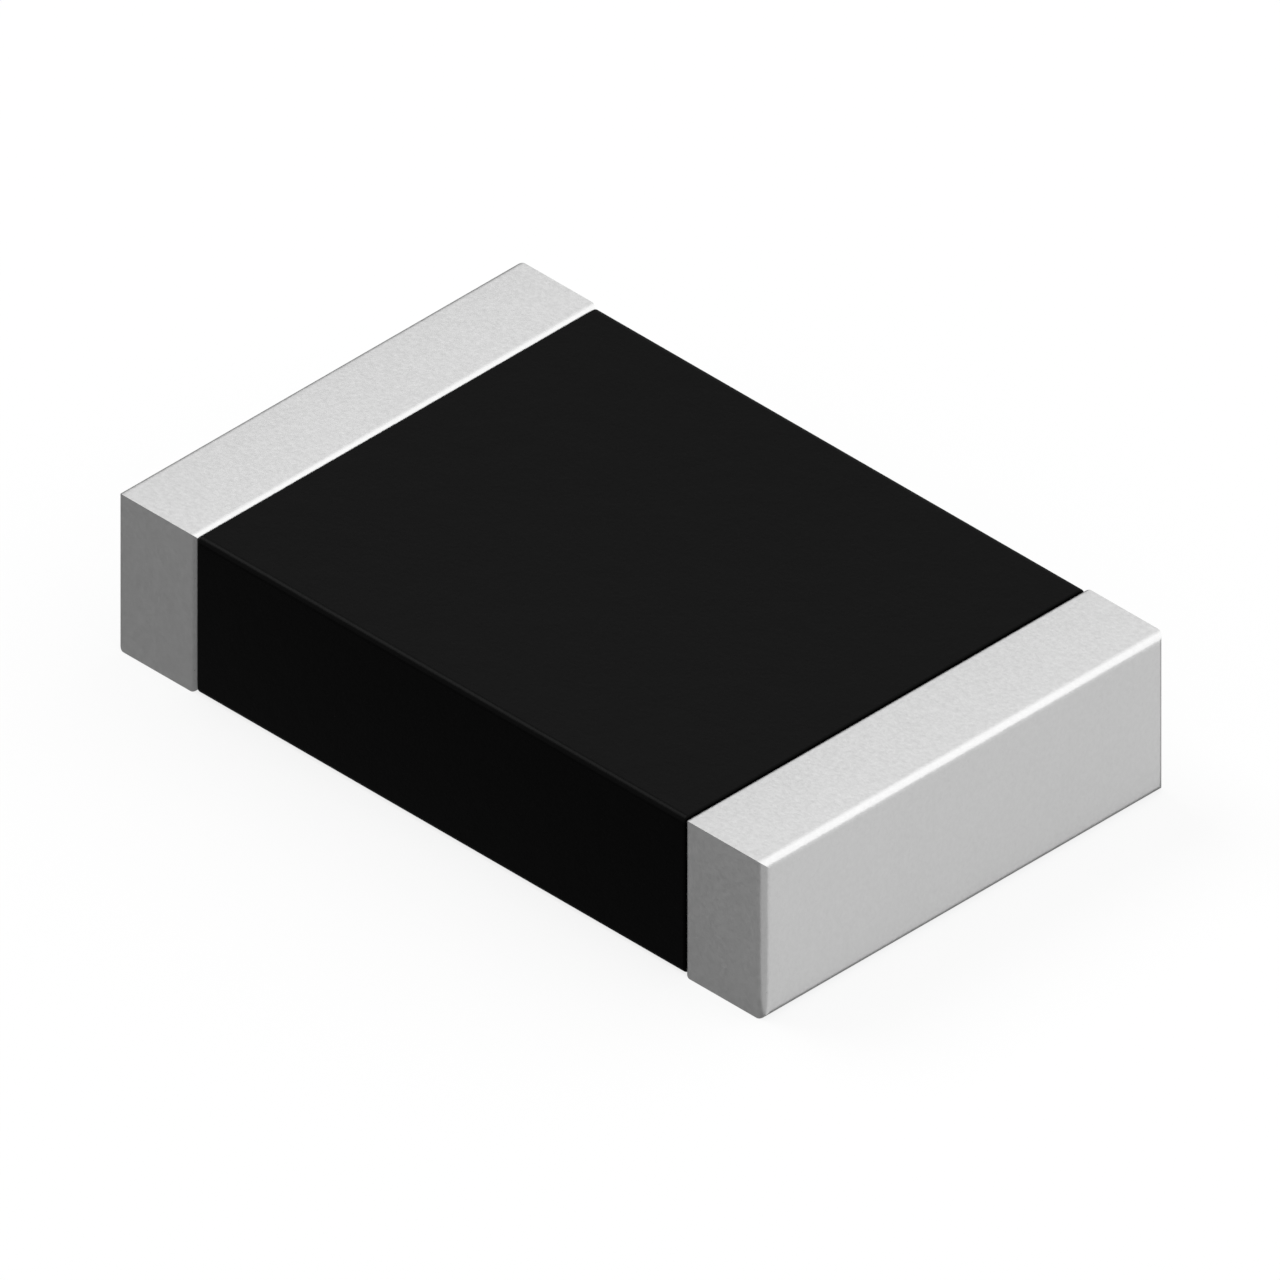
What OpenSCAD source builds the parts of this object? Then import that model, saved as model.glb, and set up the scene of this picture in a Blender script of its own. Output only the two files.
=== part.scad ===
// Surface-mount chip resistor, case 0805 (metric 2012), built up in its real layers.
//
// A fired ceramic chip carries printed silver electrodes, a printed resistor film that a laser cut trims to
// value, and a glass film over it. A black epoxy coat wraps the middle. Each end is dipped in silver, which is
// then plated with a nickel barrier and with matte tin.
//
// Millimetres. X runs along the chip, Y across it and Z up from the board.
// The origin lies on the board, under the middle of the chip.

/* [Chip] */
// Length over both end caps
chip_length = 2.015; // [1.800:0.005:3.200]
// Width over the end caps
chip_width = 1.25; // [1.15:0.01:2.50]
// Height from the board to the top of the end caps
chip_height = 0.423; // [0.300:0.001:0.800]

/* [End caps] */
// Length of the band that each end cap wraps round the chip
band_length = 0.250; // [0.150:0.005:0.400]
// Thickness of the matte tin plating
tin_thickness = 0.008; // [0.004:0.001:0.012]
// Thickness of the nickel barrier under the tin
nickel_thickness = 0.006; // [0.003:0.001:0.010]
// Thickness of the dipped silver under the nickel
silver_thickness = 0.016; // [0.010:0.001:0.030]
// Radius of the edges round the end face
end_radius = 0.023; // [0.008:0.001:0.040]
// Radius of the edges round the inner rim
rim_radius = 0.019; // [0.004:0.001:0.030]

/* [Electrodes] */
// Thickness of the printed electrodes
electrode_thickness = 0.010; // [0.005:0.001:0.015]
// Length of each top electrode, from the end of the ceramic
top_electrode_length = 0.42; // [0.30:0.01:0.50]
// Length of each bottom electrode, from the end of the ceramic
bottom_electrode_length = 0.17; // [0.10:0.01:0.30]
// Bare ceramic left on each side of an electrode
electrode_margin = 0.05; // [0.01:0.01:0.20]

/* [Resistor film] */
// Thickness of the resistor film
film_thickness = 0.010; // [0.005:0.001:0.015]
// Width of the resistor film
film_width = 0.86; // [0.50:0.01:0.95]
// Length by which the film laps over each top electrode
film_lap = 0.08; // [0.03:0.01:0.15]

/* [Laser trim] */
// Width of the trim cut
trim_kerf = 0.030; // [0.015:0.005:0.050]
// Depth to which the cut scores the ceramic
trim_score = 0.005; // [0.002:0.001:0.010]
// Distance of the first leg from the middle of the chip, towards the left end
trim_offset = 0.22; // [0.00:0.01:0.30]
// Reach of the first leg into the film, from the film's edge
trim_reach = 0.36; // [0.10:0.01:0.40]
// Length of the second leg along the film
trim_run = 0.34; // [0.10:0.01:0.45]

/* [Glass film] */
// Thickness of the glass over the resistor film
glass_thickness = 0.010; // [0.005:0.001:0.015]
// Overhang of the glass past the edges of the resistor film
glass_margin = 0.05; // [0.03:0.01:0.08]

/* [Epoxy coat] */
// Depth of the coat's faces below the faces of the end caps
coat_recess = 0.001; // [0.001:0.001:0.005]
// Radius of the coat's long edges
coat_radius = 0.018; // [0.006:0.001:0.030]
// Radius of the coat's edges at the end caps
coat_end_radius = 0.004; // [0.001:0.001:0.006]

/* [Hidden] */
$fn = 48;

// The two ends of the chip, as directions along X
left = -1;
right = 1;

// Each plated layer starts this far below the face of the tin
nickel_depth = tin_thickness;
silver_depth = nickel_depth + nickel_thickness;
cap_wall = silver_depth + silver_thickness;

// The ceramic fills what the caps and the printed electrodes leave
ceramic_length = chip_length - 2 * cap_wall;
ceramic_width = chip_width - 2 * cap_wall;
ceramic_bottom = cap_wall + electrode_thickness;
ceramic_top = chip_height - ceramic_bottom;

// From the middle of the chip to the inner edge of a top electrode, the end of the film and the end of the glass
electrode_edge = ceramic_length / 2 - top_electrode_length;
film_end = electrode_edge + film_lap;
glass_end = film_end + glass_margin;

// Heights above the ceramic: the film on the ceramic and on an electrode, then the glass over each
film_low = film_thickness;
film_high = electrode_thickness + film_thickness;
glass_low = film_low + glass_thickness;
glass_high = film_high + glass_thickness;

glass_width = film_width + 2 * glass_margin;
trim_start = -film_width / 2 - glass_margin / 2;
trim_turn = -film_width / 2 + trim_reach;

// Puts what is made for the right end at the given end.
module at_end(end) {
  mirror([end == left ? 1 : 0, 0, 0]) children();
}

// What rounding takes off a square corner at the origin whose body lies towards +X and +Y.
module corner_waste(radius) {
  difference() {
    square(2 * radius, center = true);
    translate([radius, radius]) circle(radius);
  }
}

// A strip along X, centred on it, with one radius on the corners at its start and one at its finish.
module rounded_strip(start, finish, width, start_radius, finish_radius) {
  difference() {
    translate([start, -width / 2]) square([finish - start, width]);
    for (side = [0, 1]) {
      mirror([0, side, 0]) {
        if (start_radius > 0)
          translate([start, -width / 2]) corner_waste(start_radius);
        if (finish_radius > 0)
          translate([finish, -width / 2]) mirror([1, 0, 0]) corner_waste(finish_radius);
      }
    }
  }
}

// A profile drawn along X and up Z, carried across the chip by the given width.
module across(width) {
  translate([0, width / 2, 0]) rotate([90, 0, 0]) linear_extrude(width) children();
}

// A half profile for the right end, drawn from its foot to its crest, and its mirror image.
module symmetric(half) {
  mirrored = [for (i = [len(half) - 1 : -1 : 0]) [-half[i].x, half[i].y]];
  polygon(concat(half, mirrored));
}

// The right end cap down to a layer at the given depth. Its edges are round at the end face and at the rim, and
// sharp along the chip.
module cap_form(depth) {
  rim = chip_length / 2 - band_length + depth;
  tip = chip_length / 2 - depth;
  width = chip_width - 2 * depth;
  height = chip_height - 2 * depth;
  rim_round = max(rim_radius - depth, 0);
  tip_round = max(end_radius - depth, 0);
  intersection() {
    translate([0, 0, depth])
      linear_extrude(height) rounded_strip(rim, tip, width, rim_round, tip_round);
    translate([0, 0, chip_height / 2])
      across(width) rounded_strip(rim, tip, height, rim_round, tip_round);
  }
}

// The outside of the epoxy coat, with every edge rounded.
module coat_form() {
  length = chip_length - 2 * band_length;
  width = chip_width - 2 * coat_recess;
  height = chip_height - 2 * coat_recess;
  translate([0, 0, chip_height / 2]) intersection() {
    linear_extrude(height, center = true)
      rounded_strip(-length / 2, length / 2, width, coat_end_radius, coat_end_radius);
    across(width)
      rounded_strip(-length / 2, length / 2, height, coat_end_radius, coat_end_radius);
    rotate([90, 0, 90]) linear_extrude(length, center = true)
      rounded_strip(-width / 2, width / 2, height, coat_radius, coat_radius);
  }
}

// A printed pad of the given length at the right end, with its underside at the given height.
module electrode_pad(length, height) {
  width = ceramic_width - 2 * electrode_margin;
  translate([ceramic_length / 2 - length, -width / 2, height])
    cube([length, width, electrode_thickness]);
}

// The film before trimming: flat on the ceramic, with a slope up onto each electrode.
module film_form() {
  translate([0, 0, ceramic_top]) across(film_width) symmetric([
    [electrode_edge, 0],
    [electrode_edge, electrode_thickness],
    [film_end, electrode_thickness],
    [film_end, film_high],
    [electrode_edge, film_high],
    [electrode_edge - electrode_thickness, film_low],
  ]);
}

// The glass and all that lies under it, down to the ceramic.
module glass_form() {
  translate([0, 0, ceramic_top]) across(glass_width) symmetric([
    [glass_end, 0],
    [glass_end, electrode_thickness + glass_thickness],
    [film_end + film_thickness, electrode_thickness + glass_thickness],
    [film_end, glass_high],
    [electrode_edge, glass_high],
    [electrode_edge - electrode_thickness, glass_low],
  ]);
}

// The laser's path: in from beside the film, then a turn along it, a round spot wide.
module trim_cut() {
  translate([-trim_offset, 0, ceramic_top - trim_score]) linear_extrude(trim_score + glass_high) {
    translate([-trim_kerf / 2, trim_start]) square([trim_kerf, trim_turn - trim_start]);
    translate([0, trim_turn - trim_kerf / 2]) square([trim_run, trim_kerf]);
    translate([0, trim_start]) circle(d = trim_kerf);
    translate([0, trim_turn]) circle(d = trim_kerf);
    translate([trim_run, trim_turn]) circle(d = trim_kerf);
  }
}

// Everything that the coat and the caps close over.
module printed_chip() {
  ceramic_substrate();
  resistor_film();
  glass_film();
  for (end = [left, right]) {
    top_electrode(end);
    bottom_electrode(end);
  }
}

module ceramic_substrate() {
  color("whitesmoke") difference() {
    translate([-ceramic_length / 2, -ceramic_width / 2, ceramic_bottom])
      cube([ceramic_length, ceramic_width, ceramic_top - ceramic_bottom]);
    trim_cut();
  }
}

module top_electrode(end) {
  color("gainsboro") at_end(end) electrode_pad(top_electrode_length, ceramic_top);
}

module bottom_electrode(end) {
  color("gainsboro") at_end(end)
    electrode_pad(bottom_electrode_length, ceramic_bottom - electrode_thickness);
}

module resistor_film() {
  color("#2b2a2e") difference() {
    film_form();
    trim_cut();
  }
}

module glass_film() {
  color("darkseagreen") difference() {
    glass_form();
    film_form();
    top_electrode(left);
    top_electrode(right);
    trim_cut();
  }
}

module epoxy_coat() {
  color("#191919") difference() {
    coat_form();
    printed_chip();
  }
}

module silver_cap(end) {
  color("lightgray") difference() {
    at_end(end) cap_form(silver_depth);
    printed_chip();
  }
}

module nickel_barrier(end) {
  color("#b8b2a6") difference() {
    at_end(end) cap_form(nickel_depth);
    at_end(end) cap_form(silver_depth);
    printed_chip();
  }
}

module tin_plating(end) {
  color("#d6d6d6") difference() {
    at_end(end) cap_form(0);
    at_end(end) cap_form(nickel_depth);
    printed_chip();
  }
}

ceramic_substrate();
resistor_film();
glass_film();
epoxy_coat();
top_electrode(left);  // left_top_electrode
top_electrode(right);  // right_top_electrode
bottom_electrode(left);  // left_bottom_electrode
bottom_electrode(right);  // right_bottom_electrode
silver_cap(left);  // left_silver_cap
silver_cap(right);  // right_silver_cap
nickel_barrier(left);  // left_nickel_barrier
nickel_barrier(right);  // right_nickel_barrier
tin_plating(left);  // left_tin_plating
tin_plating(right);  // right_tin_plating
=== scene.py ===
"""Looks of a surface-mount chip resistor: its layers' finish, its tin end caps and its black epoxy coat."""

import math

import bmesh
import bpy
from bpy.props import FloatProperty, FloatVectorProperty, IntProperty, PointerProperty
from bpy.types import Operator, Panel, PropertyGroup
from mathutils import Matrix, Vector


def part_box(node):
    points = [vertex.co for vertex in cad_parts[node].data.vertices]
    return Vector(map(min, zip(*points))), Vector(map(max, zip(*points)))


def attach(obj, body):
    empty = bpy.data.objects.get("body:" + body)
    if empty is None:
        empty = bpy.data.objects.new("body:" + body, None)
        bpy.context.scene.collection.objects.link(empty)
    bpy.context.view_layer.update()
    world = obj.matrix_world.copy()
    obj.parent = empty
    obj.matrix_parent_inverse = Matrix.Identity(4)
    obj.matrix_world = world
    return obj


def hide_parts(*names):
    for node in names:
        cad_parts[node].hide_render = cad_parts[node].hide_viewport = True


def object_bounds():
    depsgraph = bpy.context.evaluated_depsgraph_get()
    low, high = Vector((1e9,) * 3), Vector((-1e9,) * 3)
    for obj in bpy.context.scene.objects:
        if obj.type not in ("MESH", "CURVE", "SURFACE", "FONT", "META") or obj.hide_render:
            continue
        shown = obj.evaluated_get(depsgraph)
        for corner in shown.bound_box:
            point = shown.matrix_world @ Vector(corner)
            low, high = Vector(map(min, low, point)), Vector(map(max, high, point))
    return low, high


bl_info = {
    "name": "Chip Resistor",
    "version": (1, 0, 0),
    "blender": (4, 5, 0),
    "location": "View3D > Sidebar > Chip Resistor",
    "description": "Finishes a chip resistor's layers, builds its end caps and coat, and sets a studio",
    "category": "Object",
}

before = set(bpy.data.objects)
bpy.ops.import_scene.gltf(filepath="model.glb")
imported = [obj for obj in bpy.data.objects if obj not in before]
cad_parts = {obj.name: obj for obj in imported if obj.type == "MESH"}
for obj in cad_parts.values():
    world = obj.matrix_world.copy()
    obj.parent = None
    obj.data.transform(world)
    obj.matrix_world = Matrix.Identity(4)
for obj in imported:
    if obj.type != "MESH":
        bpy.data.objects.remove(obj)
CAD_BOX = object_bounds()

BODY = "root"
MM = 0.001
WELD_MM = 0.0001
SHARP_ANGLE = math.radians(35)
ENDS = ("left", "right")


def linear(hex_colour):
    """The linear red, green and blue of an sRGB hex colour."""
    shares = [int(hex_colour[i : i + 2], 16) / 255 for i in (1, 3, 5)]
    return tuple(s / 12.92 if s <= 0.04045 else ((s + 0.055) / 1.055) ** 2.4 for s in shares)


# What a user would change


def length(name, description, size_mm):
    """A length property whose default is given in millimetres."""
    return FloatProperty(
        name=name, description=description, default=size_mm * MM, min=0.0, precision=6, unit="LENGTH"
    )


def colour(name, description, hex_colour):
    """A colour property whose default is given as an sRGB hex value."""
    return FloatVectorProperty(
        name=name, description=description, default=linear(hex_colour), min=0.0, max=1.0, subtype="COLOR"
    )


def angle(name, description, degrees):
    """An angle property whose default is given in degrees."""
    return FloatProperty(
        name=name, description=description, default=math.radians(degrees), subtype="ANGLE"
    )


class ChipLayerSettings(PropertyGroup):
    """Colours of the layers inside the caps and the coat."""

    alumina: colour("Alumina", "White ceramic of the substrate", "#ECE9E1")
    silver_print: colour("Silver print", "Fired silver paste of the electrodes", "#CBC8C1")
    resistor: colour("Resistor film", "Dark fired film that carries the resistance", "#1E1F24")
    cover_glass: colour("Cover glass", "Green glass over the resistor film", "#47624F")
    silver_dip: colour("Silver dip", "Fired silver under the plating of the end caps", "#BDBAB3")
    nickel: colour("Nickel", "Nickel barrier under the tin", "#C3BDAF")


class CoatSettings(PropertyGroup):
    """Form and colour of the epoxy coat."""

    edge_radius: length("Edge radius", "Radius of the coat's long edges", 0.018)
    end_radius: length("End radius", "Radius of the coat's edges at the end caps", 0.004)
    steps: IntProperty(name="Steps", description="Faces across a rounded edge", default=8, min=2, max=32)
    epoxy: colour("Epoxy", "Black epoxy", "#030303")


class EndCapSettings(PropertyGroup):
    """Form and colour of the two end caps."""

    end_radius: length("End radius", "Radius of the edges round the end face", 0.023)
    rim_radius: length("Rim radius", "Radius of the edges where the cap meets the coat", 0.019)
    steps: IntProperty(name="Steps", description="Faces across a rounded edge", default=12, min=2, max=32)
    tin: colour("Tin", "Matte tin plating", "#C2C2C2")


class StageSettings(PropertyGroup):
    """Camera, floor and light."""

    azimuth: angle("Azimuth", "Camera's turn from the near long side towards the right end", 45.0)
    elevation: angle("Elevation", "Camera's height above the horizon", math.degrees(math.atan(0.5**0.5)))
    view_width: length("View width", "Width of the picture at the chip", 2.8157)
    floor: colour("Floor", "White floor and background", "#FFFFFF")
    # the cards glow in their own colour and only reflections see them: painted reflections that darken the
    # tin's sides and soften its near right edge
    card: colour("Grey cards", "Cards under and far behind the chip that only reflections see", "#8D8D8D")
    pale_card: colour("Pale card", "Card off the near right corner that only reflections see", "#CECECE")
    lamp_level: FloatProperty(name="Lamps", description="Level of all the lamps", default=1.0, min=0.0)
    sky_level: FloatProperty(
        name="Sky", description="Level of the soft fill from all round", default=0.55, min=0.0
    )


class ChipSettings(PropertyGroup):
    """All the settings of the chip resistor."""

    layers: PointerProperty(type=ChipLayerSettings, name="Layers", description="Inner layers")
    coat: PointerProperty(type=CoatSettings, name="Coat", description="Epoxy coat")
    caps: PointerProperty(type=EndCapSettings, name="Caps", description="End caps")
    stage: PointerProperty(type=StageSettings, name="Stage", description="Camera, floor and light")


# Materials


def add_node(tree, kind, values=None, links=None, **settings):
    """Adds a node, sets its settings and its inputs' values, and links outputs to its inputs."""
    made = tree.nodes.new(kind)
    for name, value in settings.items():
        setattr(made, name, value)
    for name, value in (values or {}).items():
        made.inputs[name].default_value = value
    for name, source in (links or {}).items():
        tree.links.new(source, made.inputs[name])
    return made


def start_material(name, sockets):
    """A new material with values on its Principled shader's sockets, and the place on the object."""
    material = bpy.data.materials.new(name)
    material.use_nodes = True
    tree = material.node_tree
    shader = tree.nodes["Principled BSDF"]
    for socket, value in sockets.items():
        shader.inputs[socket].default_value = value
    place = add_node(tree, "ShaderNodeTexCoord").outputs["Object"]
    return material, tree, shader, place


def repeats(size_mm):
    """The texture scale of a pattern whose features are size_mm across, for places in metres."""
    return 1 / (size_mm * MM)


def shade(rgb, share):
    """A colour with alpha, brightened or darkened to a share of itself."""
    return (*[min(c * share, 1.0) for c in rgb], 1.0)


def grained(name, rgb, grain_mm, dull, contrast, relief_mm, sockets):
    """A surface of one grain: its colour, its dullness and a low relief all follow the same noise."""
    material, tree, shader, place = start_material(name, sockets)
    grain = add_node(
        tree,
        "ShaderNodeTexNoise",
        {"Scale": repeats(grain_mm), "Detail": 3.0, "Roughness": 0.6},
        {"Vector": place},
    ).outputs["Fac"]
    tone = add_node(
        tree,
        "ShaderNodeMix",
        {"A": shade(rgb, 1 - contrast), "B": shade(rgb, 1 + contrast)},
        {"Factor": grain},
        data_type="RGBA",
    )
    dullness = add_node(
        tree, "ShaderNodeMapRange", {"To Min": dull[0], "To Max": dull[1]}, {"Value": grain}
    )
    relief = add_node(
        tree, "ShaderNodeBump", {"Strength": 1.0, "Distance": relief_mm * MM}, {"Height": grain}
    )
    tree.links.new(tone.outputs["Result"], shader.inputs["Base Color"])
    tree.links.new(dullness.outputs["Result"], shader.inputs["Roughness"])
    tree.links.new(relief.outputs["Normal"], shader.inputs["Normal"])
    return material


def fired_alumina(rgb):
    """Alumina, fired: sintered grains give a chalky white with a dull gloss."""
    return grained(
        "alumina_fired",
        rgb,
        grain_mm=0.008,
        dull=(0.45, 0.65),
        contrast=0.05,
        relief_mm=0.001,
        sockets={"IOR": 1.76},
    )


def printed_silver(rgb):
    """Silver paste, screen printed and fired: a pale metal, rough from its particles."""
    return grained(
        "silver_paste_fired",
        rgb,
        grain_mm=0.010,
        dull=(0.40, 0.60),
        contrast=0.08,
        relief_mm=0.002,
        sockets={"Metallic": 1.0},
    )


def resistor_film(rgb):
    """Ruthenium oxide in glass, printed and fired: almost black, with a slight gloss and fine specks."""
    return grained(
        "resistor_film_fired",
        rgb,
        grain_mm=0.012,
        dull=(0.30, 0.45),
        contrast=0.25,
        relief_mm=0.001,
        sockets={"IOR": 1.7},
    )


def cover_glass(rgb):
    """Green glass, printed and fired: smooth and glossy over the film."""
    return grained(
        "cover_glass_fired",
        rgb,
        grain_mm=0.030,
        dull=(0.10, 0.20),
        contrast=0.08,
        relief_mm=0.0005,
        sockets={"IOR": 1.55},
    )


def dipped_silver(rgb):
    """Silver paste, dipped and fired: a soft, slightly lumpy metal."""
    return grained(
        "silver_dip_fired",
        rgb,
        grain_mm=0.025,
        dull=(0.45, 0.65),
        contrast=0.08,
        relief_mm=0.002,
        sockets={"Metallic": 1.0},
    )


def plated_nickel(rgb):
    """Nickel, barrel plated: a warm grey metal, smoother than the silver under it."""
    return grained(
        "nickel_barrel_plated",
        rgb,
        grain_mm=0.008,
        dull=(0.25, 0.40),
        contrast=0.05,
        relief_mm=0.0005,
        sockets={"Metallic": 1.0},
    )


def matte_tin(rgb):
    """Matte tin, barrel plated: fine crystals blur every reflection into an even satin grey, a little less
    on the rounded edges, which the other chips in the barrel rub smoother."""
    # real crystals are 0.002 to 0.005 mm across, drawn coarser so that they show
    crystal_mm = 0.010
    crystal_relief_mm = 0.0006
    crystal_tones = (0.80, 1.20)
    # the plating drifts a little in tone from place to place on a face
    drift_mm = 0.25
    drift_tones = (0.97, 1.03)
    # lowest and highest roughness of the crystals
    dull = (0.40, 0.60)
    # share of the roughness that the rubbing leaves, and the turn from a flat face at which it is full
    edge_rub = 0.60
    full_rub = math.radians(30)
    material, tree, shader, place = start_material("tin_matte_plated", {"Metallic": 1.0})
    crystals = add_node(
        tree,
        "ShaderNodeTexNoise",
        {"Scale": repeats(crystal_mm), "Detail": 3.0, "Roughness": 0.6},
        {"Vector": place},
    ).outputs["Fac"]
    drift = add_node(
        tree, "ShaderNodeTexNoise", {"Scale": repeats(drift_mm), "Detail": 2.0}, {"Vector": place}
    ).outputs["Fac"]
    tone = add_node(
        tree,
        "ShaderNodeMix",
        {"A": shade(rgb, drift_tones[0]), "B": shade(rgb, drift_tones[1])},
        {"Factor": drift},
        data_type="RGBA",
    )
    sparkle = add_node(
        tree,
        "ShaderNodeMix",
        {"A": shade(rgb, crystal_tones[0]), "B": shade(rgb, crystal_tones[1])},
        {"Factor": crystals},
        data_type="RGBA",
    )
    mixed = add_node(
        tree,
        "ShaderNodeMix",
        {"Factor": 0.5},
        {"A": tone.outputs["Result"], "B": sparkle.outputs["Result"]},
        data_type="RGBA",
    )
    dullness = add_node(
        tree, "ShaderNodeMapRange", {"To Min": dull[0], "To Max": dull[1]}, {"Value": crystals}
    )
    # the largest part of the normal along an axis of the chip is 1 on flat faces and least on rounded edges
    facing = add_node(tree, "ShaderNodeTexCoord").outputs["Normal"]
    normal = add_node(tree, "ShaderNodeVectorMath", links={0: facing}, operation="ABSOLUTE")
    parts = add_node(tree, "ShaderNodeSeparateXYZ", links={"Vector": normal.outputs["Vector"]}).outputs
    level = add_node(tree, "ShaderNodeMath", links={0: parts["X"], 1: parts["Y"]}, operation="MAXIMUM")
    largest = add_node(
        tree, "ShaderNodeMath", links={0: level.outputs["Value"], 1: parts["Z"]}, operation="MAXIMUM"
    )
    rub = add_node(
        tree,
        "ShaderNodeMapRange",
        {"From Min": math.cos(full_rub), "From Max": 1.0, "To Min": edge_rub, "To Max": 1.0},
        {"Value": largest.outputs["Value"]},
    )
    rubbed = add_node(
        tree,
        "ShaderNodeMath",
        links={0: dullness.outputs["Result"], 1: rub.outputs["Result"]},
        operation="MULTIPLY",
    )
    relief = add_node(
        tree,
        "ShaderNodeBump",
        {"Strength": 1.0, "Distance": crystal_relief_mm * MM},
        {"Height": crystals},
    )
    tree.links.new(mixed.outputs["Result"], shader.inputs["Base Color"])
    tree.links.new(rubbed.outputs["Value"], shader.inputs["Roughness"])
    tree.links.new(relief.outputs["Normal"], shader.inputs["Normal"])
    return material


def black_epoxy(rgb):
    """Black epoxy, filled and cured: a near-black skin with a weak sheen, a slight peel and fine specks."""
    # real filler is about 0.005 mm across, drawn coarser so that it shows
    filler_mm = 0.012
    filler_relief_mm = 0.0004
    filler_tones = (0.5, 1.5)
    # low waves that stay in the skin as it cures
    peel_mm = 0.08
    peel_relief_mm = 0.0008
    # lowest and highest roughness of the filler
    dull = (0.22, 0.38)
    sockets = {"IOR": 1.5, "Specular IOR Level": 0.033}
    material, tree, shader, place = start_material("epoxy_black_cured", sockets)
    filler = add_node(
        tree,
        "ShaderNodeTexNoise",
        {"Scale": repeats(filler_mm), "Detail": 4.0, "Roughness": 0.65},
        {"Vector": place},
    ).outputs["Fac"]
    peel = add_node(
        tree, "ShaderNodeTexNoise", {"Scale": repeats(peel_mm), "Detail": 2.0}, {"Vector": place}
    ).outputs["Fac"]
    tone = add_node(
        tree,
        "ShaderNodeMix",
        {"A": shade(rgb, filler_tones[0]), "B": shade(rgb, filler_tones[1])},
        {"Factor": filler},
        data_type="RGBA",
    )
    dullness = add_node(
        tree, "ShaderNodeMapRange", {"To Min": dull[0], "To Max": dull[1]}, {"Value": filler}
    )
    grit = add_node(
        tree, "ShaderNodeBump", {"Strength": 1.0, "Distance": filler_relief_mm * MM}, {"Height": filler}
    )
    relief = add_node(
        tree,
        "ShaderNodeBump",
        {"Strength": 1.0, "Distance": peel_relief_mm * MM},
        {"Height": peel, "Normal": grit.outputs["Normal"]},
    )
    tree.links.new(tone.outputs["Result"], shader.inputs["Base Color"])
    tree.links.new(dullness.outputs["Result"], shader.inputs["Roughness"])
    tree.links.new(relief.outputs["Normal"], shader.inputs["Normal"])
    return material


def finish_nodes(names, material):
    """Gives CAD nodes, whose shapes are right as they are, a better material."""
    for name in names:
        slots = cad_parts[name].data.materials
        slots.clear()
        slots.append(material)


# Meshes, built in millimetres


def box_mm(node):
    """Lowest and highest corner of a CAD node, in millimetres."""
    low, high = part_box(node)
    return low / MM, high / MM


def rounding(plane, inwards, radius, steps):
    """Places along X and insets of a rounded edge, from its end plane to the flat side."""
    turns = [math.pi / 2 * i / steps for i in range(steps + 1)]
    return [(plane + inwards * radius * (1 - math.cos(t)), radius * (1 - math.sin(t))) for t in turns]


def section(x, low, high, inset, radius, steps):
    """Points round the section at x, drawn in from the box by an inset, with corners of the given radius."""
    reach = radius + inset
    points = []
    for quarter, y, z in (
        (0, high.y - reach, high.z - reach),
        (1, low.y + reach, high.z - reach),
        (2, low.y + reach, low.z + reach),
        (3, high.y - reach, low.z + reach),
    ):
        for i in range(steps + 1):
            turn = math.pi / 2 * (quarter + i / steps)
            points.append((x, y + radius * math.cos(turn), z + radius * math.sin(turn)))
    return points


def in_plane(part, x):
    """Whether all the points of an edge or face lie in the plane at x."""
    return all(abs(v.co.x - x) < WELD_MM for v in part.verts)


def linked_points(start):
    """All the points of a mesh that hang together with one of them."""
    found = {start}
    waiting = [start]
    while waiting:
        for edge in waiting.pop().link_edges:
            for point in edge.verts:
                if point not in found:
                    found.add(point)
                    waiting.append(point)
    return found


def cavity(node, planes):
    """The inner walls of a CAD node: its mesh without its outer skin and the faces in its end planes."""
    mesh = bmesh.new()
    mesh.from_mesh(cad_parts[node].data)
    bmesh.ops.scale(mesh, vec=(1 / MM, 1 / MM, 1 / MM), verts=mesh.verts)
    bmesh.ops.remove_doubles(mesh, verts=mesh.verts, dist=WELD_MM)
    ends = [face for face in mesh.faces if any(in_plane(face, x) for x in planes)]
    bmesh.ops.delete(mesh, geom=ends, context="FACES")
    skin = linked_points(max(mesh.verts, key=lambda point: point.co.y))
    bmesh.ops.delete(mesh, geom=list(skin), context="VERTS")
    return mesh


def reskin(node, rings, mitred):
    """A closed shell: the node's own cavity inside a new outer skin, lofted through rings of points.
    Where the skin is mitred, its corners stay sharp from ring to ring."""
    planes = (rings[0][0][0], rings[-1][0][0])
    mesh = cavity(node, planes)
    loops = [[mesh.verts.new(point) for point in ring] for ring in rings]
    for near, far in zip(loops, loops[1:]):
        for i in range(len(near)):
            mesh.faces.new((near[i - 1], near[i], far[i], far[i - 1]))
    bmesh.ops.remove_doubles(mesh, verts=mesh.verts, dist=WELD_MM)
    for x in planes:
        rims = [edge for edge in mesh.edges if edge.is_boundary and in_plane(edge, x)]
        bmesh.ops.triangle_fill(mesh, use_beauty=True, edges=rims, normal=(1, 0, 0))
    bmesh.ops.recalc_face_normals(mesh, faces=mesh.faces)
    if not all(edge.is_manifold for edge in mesh.edges):
        raise RuntimeError(f"the shell of {node} isn't closed")
    for edge in mesh.edges:
        along = abs(edge.verts[0].co.x - edge.verts[1].co.x) > WELD_MM
        edge.smooth = edge.calc_face_angle() < SHARP_ANGLE and not (mitred and along)
    for face in mesh.faces:
        face.smooth = True
    bmesh.ops.scale(mesh, vec=(MM, MM, MM), verts=mesh.verts)
    return mesh


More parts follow.
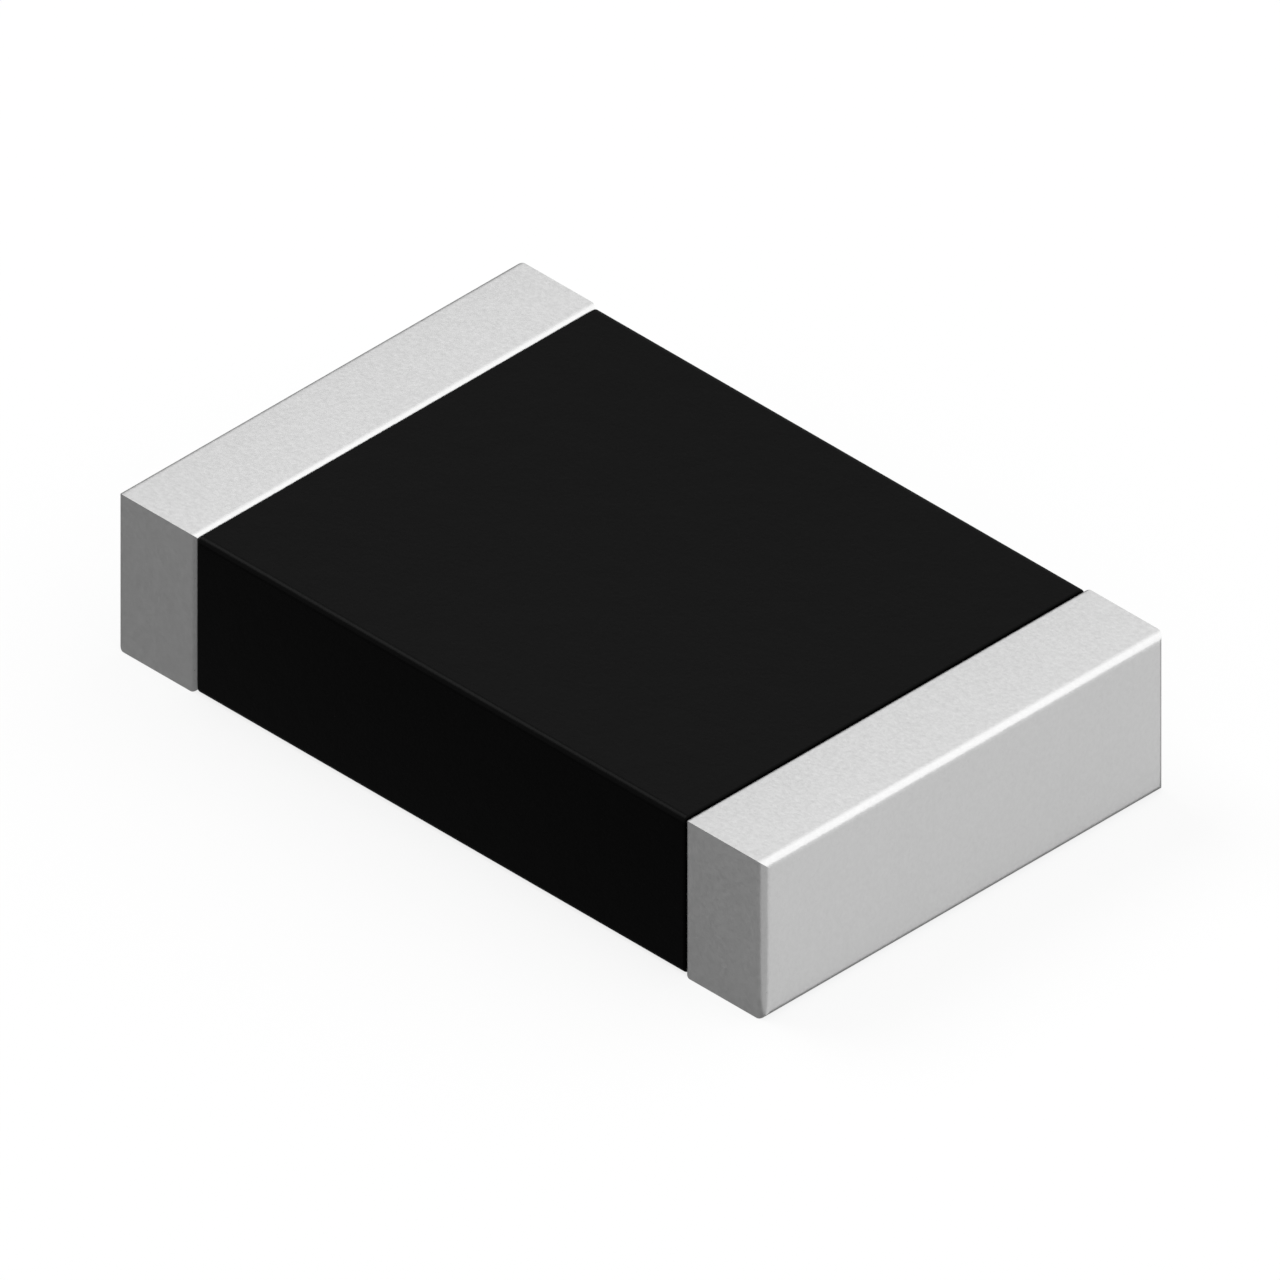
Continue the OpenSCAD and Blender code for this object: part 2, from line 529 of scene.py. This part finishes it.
def add_piece(name, mesh, node, material):
    """Turns a mesh into the piece that stands for a CAD node, shaded so that flat faces look flat."""
    data = bpy.data.meshes.new(name)
    mesh.to_mesh(data)
    mesh.free()
    data.materials.append(material)
    piece = bpy.data.objects.new(name, data)
    bpy.context.scene.collection.objects.link(piece)
    normals = piece.modifiers.new("flat_faces_stay_flat", "WEIGHTED_NORMAL")
    normals.weight = 100
    normals.keep_sharp = True
    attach(piece, BODY)
    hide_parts(node)
    return piece


# Operators


class CHIP_OT_substrate(Operator):
    """Finish the ceramic substrate"""

    bl_idname = "chip.substrate"
    bl_label = "Ceramic Substrate"

    def execute(self, context):
        layers = context.scene.chip.layers
        finish_nodes(["ceramic_substrate"], fired_alumina(layers.alumina))
        return {"FINISHED"}


class CHIP_OT_printed_layers(Operator):
    """Finish the printed electrodes, the resistor film and the glass over it"""

    bl_idname = "chip.printed_layers"
    bl_label = "Printed Layers"

    def execute(self, context):
        layers = context.scene.chip.layers
        pads = [f"{end}_{face}_electrode" for end in ENDS for face in ("top", "bottom")]
        finish_nodes(pads, printed_silver(layers.silver_print))
        finish_nodes(["resistor_film"], resistor_film(layers.resistor))
        finish_nodes(["glass_film"], cover_glass(layers.cover_glass))
        return {"FINISHED"}


class CHIP_OT_inner_caps(Operator):
    """Finish the silver and nickel layers inside the end caps"""

    bl_idname = "chip.inner_caps"
    bl_label = "Inner Cap Layers"

    def execute(self, context):
        layers = context.scene.chip.layers
        finish_nodes([f"{end}_silver_cap" for end in ENDS], dipped_silver(layers.silver_dip))
        finish_nodes([f"{end}_nickel_barrier" for end in ENDS], plated_nickel(layers.nickel))
        return {"FINISHED"}


class CHIP_OT_coat(Operator):
    """Build the black epoxy coat"""

    bl_idname = "chip.coat"
    bl_label = "Epoxy Coat"

    def execute(self, context):
        coat = context.scene.chip.coat
        low, high = box_mm("epoxy_coat")
        radius = coat.edge_radius / MM
        left = rounding(low.x, 1, coat.end_radius / MM, coat.steps)
        right = rounding(high.x, -1, coat.end_radius / MM, coat.steps)
        rings = [
            section(x, low, high, inset, radius - inset, coat.steps) for x, inset in left + right[::-1]
        ]
        mesh = reskin("epoxy_coat", rings, mitred=False)
        add_piece("coat", mesh, "epoxy_coat", black_epoxy(coat.epoxy))
        return {"FINISHED"}


class CHIP_OT_end_caps(Operator):
    """Build the two tin-plated end caps"""

    bl_idname = "chip.end_caps"
    bl_label = "End Caps"

    def execute(self, context):
        caps = context.scene.chip.caps
        tin = matte_tin(caps.tin)
        for end in ENDS:
            node = f"{end}_tin_plating"
            low, high = box_mm(node)
            rim, tip, outwards = (high.x, low.x, -1) if end == "left" else (low.x, high.x, 1)
            rim_edge = rounding(rim, outwards, caps.rim_radius / MM, caps.steps)
            end_edge = rounding(tip, -outwards, caps.end_radius / MM, caps.steps)
            rings = [section(x, low, high, inset, 0.0, 1) for x, inset in rim_edge + end_edge[::-1]]
            mesh = reskin(node, rings, mitred=True)
            add_piece(f"{end}_cap", mesh, node, tin)
        return {"FINISHED"}


class CHIP_OT_stage(Operator):
    """Set the floor, the light and the camera"""

    bl_idname = "chip.stage"
    bl_label = "Stage"

    def execute(self, context):
        scene = context.scene
        stage = scene.chip.stage
        scene.view_settings.view_transform = "Standard"
        lay_floor(stage)
        lay_cards(stage)
        set_lamps(scene, stage)
        set_sky(scene, stage)
        set_camera(scene, stage)
        return {"FINISHED"}


class CHIP_PT_resistor(Panel):
    """The pieces of the chip resistor"""

    bl_idname = "CHIP_PT_resistor"
    bl_label = "Chip Resistor"
    bl_space_type = "VIEW_3D"
    bl_region_type = "UI"
    bl_category = "Chip Resistor"

    def draw(self, context):
        for operator in OPERATORS:
            self.layout.operator(operator.bl_idname)


# Studio

# Each lamp's azimuth, elevation and half-angle in degrees as the chip sees it,
# and its brightness, where 1 is white
LAMPS = {
    "back_lamp": (137, 53, 42, 0.82),
    "edge_lamp": (281, 54, 17, 4.15),
}
LAMP_DISTANCE_MM = 150.0
STAGE_REACH_MM = 250.0
# Thickness of the cards and of the floor, which lies as far under the chip
CARD_MM = 0.0005
# Corners of the standing card, a glowing grey card whose painted reflection darkens the top edge of the left
# end
STANDING_CARD_MM = ((-31.0, 0.0, 0.0), (-30.0, 110.0, 10.0))
# How far the grey floor card reaches past the right end, whose rounded bottom edge mirrors it as a painted
# shade line
CARD_STRIP_MM = 0.01
# Share of the light on it that the floor's paper sends back
PAPER_SHARE = 0.9
# Share of the floor that is white to the eye whatever falls on it; the rest takes light and shadow
FLOOR_WHITE = 0.82
CAMERA_DISTANCE_MM = 20.0
CAMERA_CLIP_MM = (0.1, 1000.0)
# Shares of the picture by which the chip sits right of its middle and below it
CAMERA_SHIFT = (-0.0007, 0.0005)


def direction(azimuth, elevation):
    """The unit vector towards an elevation and an azimuth, which turns from the near long side
    towards the right end."""
    flat = math.cos(elevation)
    return Vector((math.sin(azimuth) * flat, -math.cos(azimuth) * flat, math.sin(elevation)))


def aim(thing, place, backwards):
    """Puts a lamp or the camera at a place, with its back along a direction."""
    thing.location = place
    thing.rotation_mode = "QUATERNION"
    thing.rotation_quaternion = backwards.to_track_quat("Z", "Y")


def seen(tree):
    """1 for the rays that show the background: straight to the camera, in a reflection or through glass."""
    path = add_node(tree, "ShaderNodeLightPath").outputs
    either = add_node(
        tree,
        "ShaderNodeMath",
        links={0: path["Is Camera Ray"], 1: path["Is Glossy Ray"]},
        operation="MAXIMUM",
    )
    return add_node(
        tree,
        "ShaderNodeMath",
        links={0: either.outputs["Value"], 1: path["Is Transmission Ray"]},
        operation="MAXIMUM",
    ).outputs["Value"]


def stage_box(name, low, high, material):
    """A box of the studio between two corners in millimetres."""
    mesh = bmesh.new()
    bmesh.ops.create_cube(mesh, size=1.0)
    # the cube runs from -0.5 to 0.5
    for point in mesh.verts:
        point.co = Vector([l + (h - l) * (c + 0.5) for l, h, c in zip(low, high, point.co)]) * MM
    data = bpy.data.meshes.new(name)
    mesh.to_mesh(data)
    mesh.free()
    data.materials.append(material)
    made = bpy.data.objects.new(name, data)
    bpy.context.scene.collection.objects.link(made)
    return made


def lay_floor(stage):
    """A white floor that keeps a soft shadow of the chip."""
    sockets = {
        "Base Color": shade(stage.floor, PAPER_SHARE),
        "Roughness": 1.0,
        "Specular IOR Level": 0.0,
    }
    material, tree, shader, _ = start_material("floor_white_paper", sockets)
    white = add_node(tree, "ShaderNodeEmission", {"Color": shade(stage.floor, 1.0), "Strength": 1.0})
    share = add_node(
        tree, "ShaderNodeMath", {1: FLOOR_WHITE}, {0: seen(tree)}, operation="MULTIPLY"
    )
    mixed = add_node(
        tree,
        "ShaderNodeMixShader",
        links={0: share.outputs["Value"], 1: shader.outputs["BSDF"], 2: white.outputs["Emission"]},
    )
    tree.links.new(mixed.outputs["Shader"], tree.nodes["Material Output"].inputs["Surface"])
    reach = STAGE_REACH_MM
    stage_box("floor", (-reach, -reach, -2 * CARD_MM), (reach, reach, -CARD_MM), material)


def glowing_card(name, rgb):
    """A glowing card, a painted reflection: reflections show it in its own colour, whatever light falls on
    it.
    """
    material = bpy.data.materials.new(name)
    material.use_nodes = True
    tree = material.node_tree
    glow = add_node(tree, "ShaderNodeEmission", {"Color": shade(rgb, 1.0), "Strength": 1.0})
    tree.links.new(glow.outputs["Emission"], tree.nodes["Material Output"].inputs["Surface"])
    return material


def lay_cards(stage):
    """Glowing cards, seen only in reflections, which paint the tin's light and shade: a grey one on the
    floor from the left as far as the right end, a painted reflection that keeps the white floor out of the
    tin and darkens its sides, a pale one off the near right corner, whose painted reflection softens that
    edge, and a grey one that stands far behind the left end, whose painted reflection darkens the top edge
    of that end."""
    grey = glowing_card("card_grey_painted_reflection", stage.card)
    pale = glowing_card("card_pale_painted_reflection", stage.pale_card)
    low, high = [corner / MM for corner in CAD_BOX]
    reach = STAGE_REACH_MM
    turn = high.x + CARD_STRIP_MM
    for name, glow_material, near, far in (
        ("floor_card", grey, (-reach, -reach, 0.0), (turn, reach, CARD_MM)),
        ("corner_card", pale, (turn, -reach, 0.0), (reach, low.y, CARD_MM)),
        ("standing_card", grey, *STANDING_CARD_MM),
    ):
        card = stage_box(name, near, far, glow_material)
        card.visible_camera = False
        card.visible_diffuse = False
        card.visible_transmission = False
        card.visible_shadow = False


def set_lamps(scene, stage):
    """Soft round lamps: a wide one high behind the right end, and a smaller one high over the left end
    that draws a line of light along the coat's near edge."""
    for name, (azimuth, elevation, half_angle, brightness) in LAMPS.items():
        back = direction(math.radians(azimuth), math.radians(elevation))
        lamp = bpy.data.lights.new(name, "AREA")
        lamp.shape = "DISK"
        lamp.size = 2 * LAMP_DISTANCE_MM * MM * math.tan(math.radians(half_angle))
        area = math.pi * lamp.size**2 / 4
        # each square metre of the disk sends out pi times its brightness
        lamp.energy = stage.lamp_level * brightness * math.pi * area
        thing = bpy.data.objects.new(name, lamp)
        thing.visible_camera = False
        scene.collection.objects.link(thing)
        aim(thing, back * LAMP_DISTANCE_MM * MM, back)


def set_sky(scene, stage):
    """A white background with a dim, even fill."""
    world = bpy.data.worlds.new("white_room")
    scene.world = world
    world.use_nodes = True
    tree = world.node_tree
    strength = add_node(tree, "ShaderNodeMix", {"A": stage.sky_level, "B": 1.0}, {"Factor": seen(tree)})
    background = tree.nodes["Background"]
    background.inputs["Color"].default_value = shade(stage.floor, 1.0)
    tree.links.new(strength.outputs["Result"], background.inputs["Strength"])


def set_camera(scene, stage):
    """A parallel view from the isometric corner, with the chip all but centred."""
    back = direction(stage.azimuth, stage.elevation)
    lens = bpy.data.cameras.new("camera")
    lens.type = "ORTHO"
    lens.ortho_scale = stage.view_width
    lens.shift_x, lens.shift_y = CAMERA_SHIFT
    lens.clip_start, lens.clip_end = [reach * MM for reach in CAMERA_CLIP_MM]
    camera = bpy.data.objects.new("camera", lens)
    scene.collection.objects.link(camera)
    aim(camera, (CAD_BOX[0] + CAD_BOX[1]) / 2 + back * CAMERA_DISTANCE_MM * MM, back)
    scene.camera = camera


# Registration

OPERATORS = (
    CHIP_OT_substrate,
    CHIP_OT_printed_layers,
    CHIP_OT_inner_caps,
    CHIP_OT_coat,
    CHIP_OT_end_caps,
    CHIP_OT_stage,
)
CLASSES = (
    ChipLayerSettings,
    CoatSettings,
    EndCapSettings,
    StageSettings,
    ChipSettings,
    *OPERATORS,
    CHIP_PT_resistor,
)


def register():
    """Registers the classes and puts the chip's settings on the scene."""
    for cls in CLASSES:
        bpy.utils.register_class(cls)
    bpy.types.Scene.chip = PointerProperty(type=ChipSettings, name="Chip", description="Chip resistor")


def unregister():
    """Takes the chip's settings off the scene and unregisters the classes."""
    del bpy.types.Scene.chip
    for cls in reversed(CLASSES):
        bpy.utils.unregister_class(cls)


def main():
    """Builds all the pieces and the stage."""
    register()
    bpy.ops.chip.substrate()
    bpy.ops.chip.printed_layers()
    bpy.ops.chip.inner_caps()
    bpy.ops.chip.coat()
    bpy.ops.chip.end_caps()
    bpy.ops.chip.stage()


if __name__ == "__main__":
    main()
